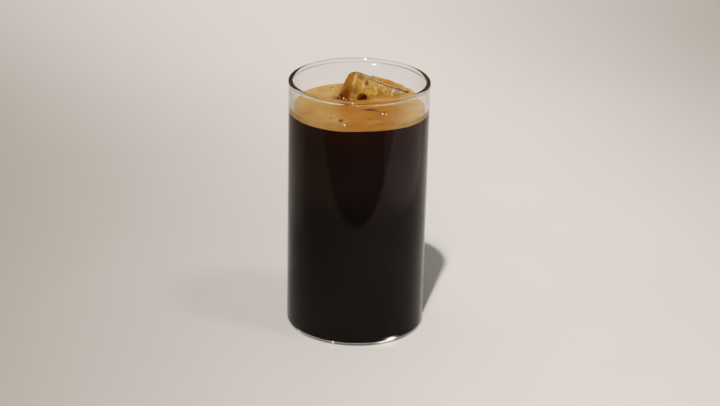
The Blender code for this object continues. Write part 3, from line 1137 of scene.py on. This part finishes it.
def add_sun(name, strength, azimuth, elevation, size):
    """A far lamp in that direction, from +X towards +Y and above the floor, of that apparent size."""
    flat, up = math.radians(azimuth), math.radians(elevation)
    towards = (math.cos(flat) * math.cos(up), math.sin(flat) * math.cos(up), math.sin(up))
    add_lamp(name, "SUN", strength, towards, (0, 0, 0)).data.angle = math.radians(size)


def add_board(name, power, place, size):
    """A soft rectangular lamp at that place, turned to the glass, that shows only in reflections."""
    lamp = add_lamp(name, "AREA", power, place, BOARD_AIM)
    lamp.data.shape = "RECTANGLE"
    lamp.data.size, lamp.data.size_y = size
    lamp.visible_camera = False
    lamp.visible_diffuse = False
    lamp.visible_transmission = False


def add_camera(studio):
    """The camera on the viewer's side, looking down at the glass, swung a little to the right and leaning."""
    tilt, distance = studio.elevation, studio.distance
    place = Vector((0.0, -distance * math.cos(tilt), studio.aim + distance * math.sin(tilt)))
    forward = Vector((0.0, math.cos(tilt), -math.sin(tilt)))
    right = Vector((1.0, 0.0, 0.0))
    up = right.cross(forward)
    ahead = forward * math.cos(studio.swing) + right * math.sin(studio.swing)
    right = right * math.cos(studio.swing) - forward * math.sin(studio.swing)
    turn = Matrix((right, up, -ahead)).transposed() @ Matrix.Rotation(studio.roll, 3, "Z")
    data = bpy.data.cameras.new("camera")
    data.lens = studio.lens
    data.sensor_width = 36.0
    data.clip_start = 0.05
    camera = placed("camera", data)
    camera.matrix_world = Matrix.Translation(place) @ turn.to_4x4()
    bpy.context.scene.camera = camera


def add_room(studio):
    """A dim room that is dark at eye level and below."""
    world = bpy.data.worlds.new("room")
    world.use_nodes = True
    nodes = Nodes(world.node_tree, "Generated")
    shade = nodes.mix(nodes.step(nodes.axes()[2], -0.05, 0.30), studio.below, studio.room)
    nodes.feed(nodes.tree.nodes["Background"].inputs["Color"], shade)
    bpy.context.scene.world = world


def set_tone():
    """A plain view with a short toe, as a camera gives, so that near-blacks stay deep."""
    view = bpy.context.scene.view_settings
    view.view_transform = "Standard"
    view.use_curve_mapping = True
    curve = view.curve_mapping.curves[3]
    for bright, shown in TONE:
        curve.points.new(bright, shown)
    view.curve_mapping.update()


def add_floor(name, near, far, height, material):
    """A flat strip of floor at that height, from one distance along the view to another."""
    side = FLOOR_REACH
    mesh = bpy.data.meshes.new(name)
    corners = [(-side, near, height), (side, near, height), (side, far, height), (-side, far, height)]
    mesh.from_pydata(corners, [], [(0, 1, 2, 3)])
    mesh.materials.append(material)
    strip = placed(name, mesh)
    return strip


class ICED_OT_highlight_beads(bpy.types.Operator):
    """Sets small glowing beads on the crema and a glowing drop on the wall behind, all painted highlights"""

    bl_idname = "iced.beads"
    bl_label = "Beads and drop"

    def execute(self, context):
        settings = context.scene.iced_americano
        shape = ball(12, 7)
        beads = np.array(CREMA_HIGHLIGHT_BEADS) * MM
        places = np.stack([beads[:, 0], beads[:, 1], settings.drink.level + 0.35 * beads[:, 2]], axis=1)
        points, faces = repeated(*shape, places, 0.88 * beads[:, 2])
        add_piece("crema_highlight_beads", points, faces, glowing_highlight_bead("glowing_highlight_bead", (0.93, 0.88, 0.78)))
        # The drop on the wall glows as a painted highlight
        drops = np.array(WALL_DROP_HIGHLIGHTS)
        inner = settings.glass.radius - settings.glass.wall
        places = polar(inner, np.radians(drops[:, 0]), drops[:, 1] * MM)
        points, faces = repeated(*shape, places, drops[:, 2] * MM)
        add_piece("wall_drop_highlight", points, faces, glowing_highlight_bead("wall_drop_highlight", (0.96, 0.96, 0.95)))
        return {"FINISHED"}


class ICED_OT_heel(bpy.types.Operator):
    """Hangs painted light just inside the heel, for the light that the base carries"""

    bl_idname = "iced.heel"
    bl_label = "Light in the heel"

    def execute(self, context):
        glass = context.scene.iced_americano.glass
        points, faces, masks = heel_band(glass)
        add_piece("heel_light", points, faces, heel_light(), masks=masks)
        return {"FINISHED"}


class ICED_OT_studio(bpy.types.Operator):
    """Sets the floor, the lamps, the room, the camera and the tone"""

    bl_idname = "iced.studio"
    bl_label = "Studio"

    def execute(self, context):
        studio = context.scene.iced_americano.studio
        tabletop = pale_floor(studio)
        add_floor("floor", -studio.near_edge, FLOOR_REACH, -studio.floor_gap, tabletop)
        near = add_floor("near_floor", -FLOOR_REACH, -studio.near_edge, -studio.floor_gap, tabletop)
        # Past the near edge, towards the viewer, the floor isn't reflected, so that the drink stays dark
        near.visible_glossy = False
        add_sun("key", studio.key, *KEY_LAMP)
        add_sun("fill", studio.fill, *FILL_LAMP)
        for board in BOARDS:
            add_board(*board)
        add_room(studio)
        add_camera(studio)
        set_tone()
        return {"FINISHED"}


OPERATORS = (
    ICED_OT_glass,
    ICED_OT_coffee,
    ICED_OT_crema,
    ICED_OT_ice,
    ICED_OT_veil,
    ICED_OT_air,
    ICED_OT_bubbles,
    ICED_OT_highlight_beads,
    ICED_OT_heel,
    ICED_OT_studio,
)


class ICED_PT_panel(bpy.types.Panel):
    """Lists the steps that dress the iced americano"""

    bl_idname = "ICED_PT_panel"
    bl_label = "Iced Americano"
    bl_space_type = "VIEW_3D"
    bl_region_type = "UI"
    bl_category = "Iced Americano"

    def draw(self, context):
        for operator in OPERATORS:
            self.layout.operator(operator.bl_idname)


CLASSES = (
    GlassSettings,
    DrinkSettings,
    IceSettings,
    StudioSettings,
    IcedAmericanoSettings,
    *OPERATORS,
    ICED_PT_panel,
)


def register():
    for item in CLASSES:
        bpy.utils.register_class(item)
    bpy.types.Scene.iced_americano = PointerProperty(type=IcedAmericanoSettings)


def unregister():
    del bpy.types.Scene.iced_americano
    for item in reversed(CLASSES):
        bpy.utils.unregister_class(item)


def main():
    register()
    bpy.ops.iced.glass()
    bpy.ops.iced.coffee()
    bpy.ops.iced.crema()
    bpy.ops.iced.ice()
    bpy.ops.iced.veil()
    bpy.ops.iced.air()
    bpy.ops.iced.bubbles()
    bpy.ops.iced.beads()
    bpy.ops.iced.heel()
    bpy.ops.iced.studio()


if __name__ == "__main__":
    main()
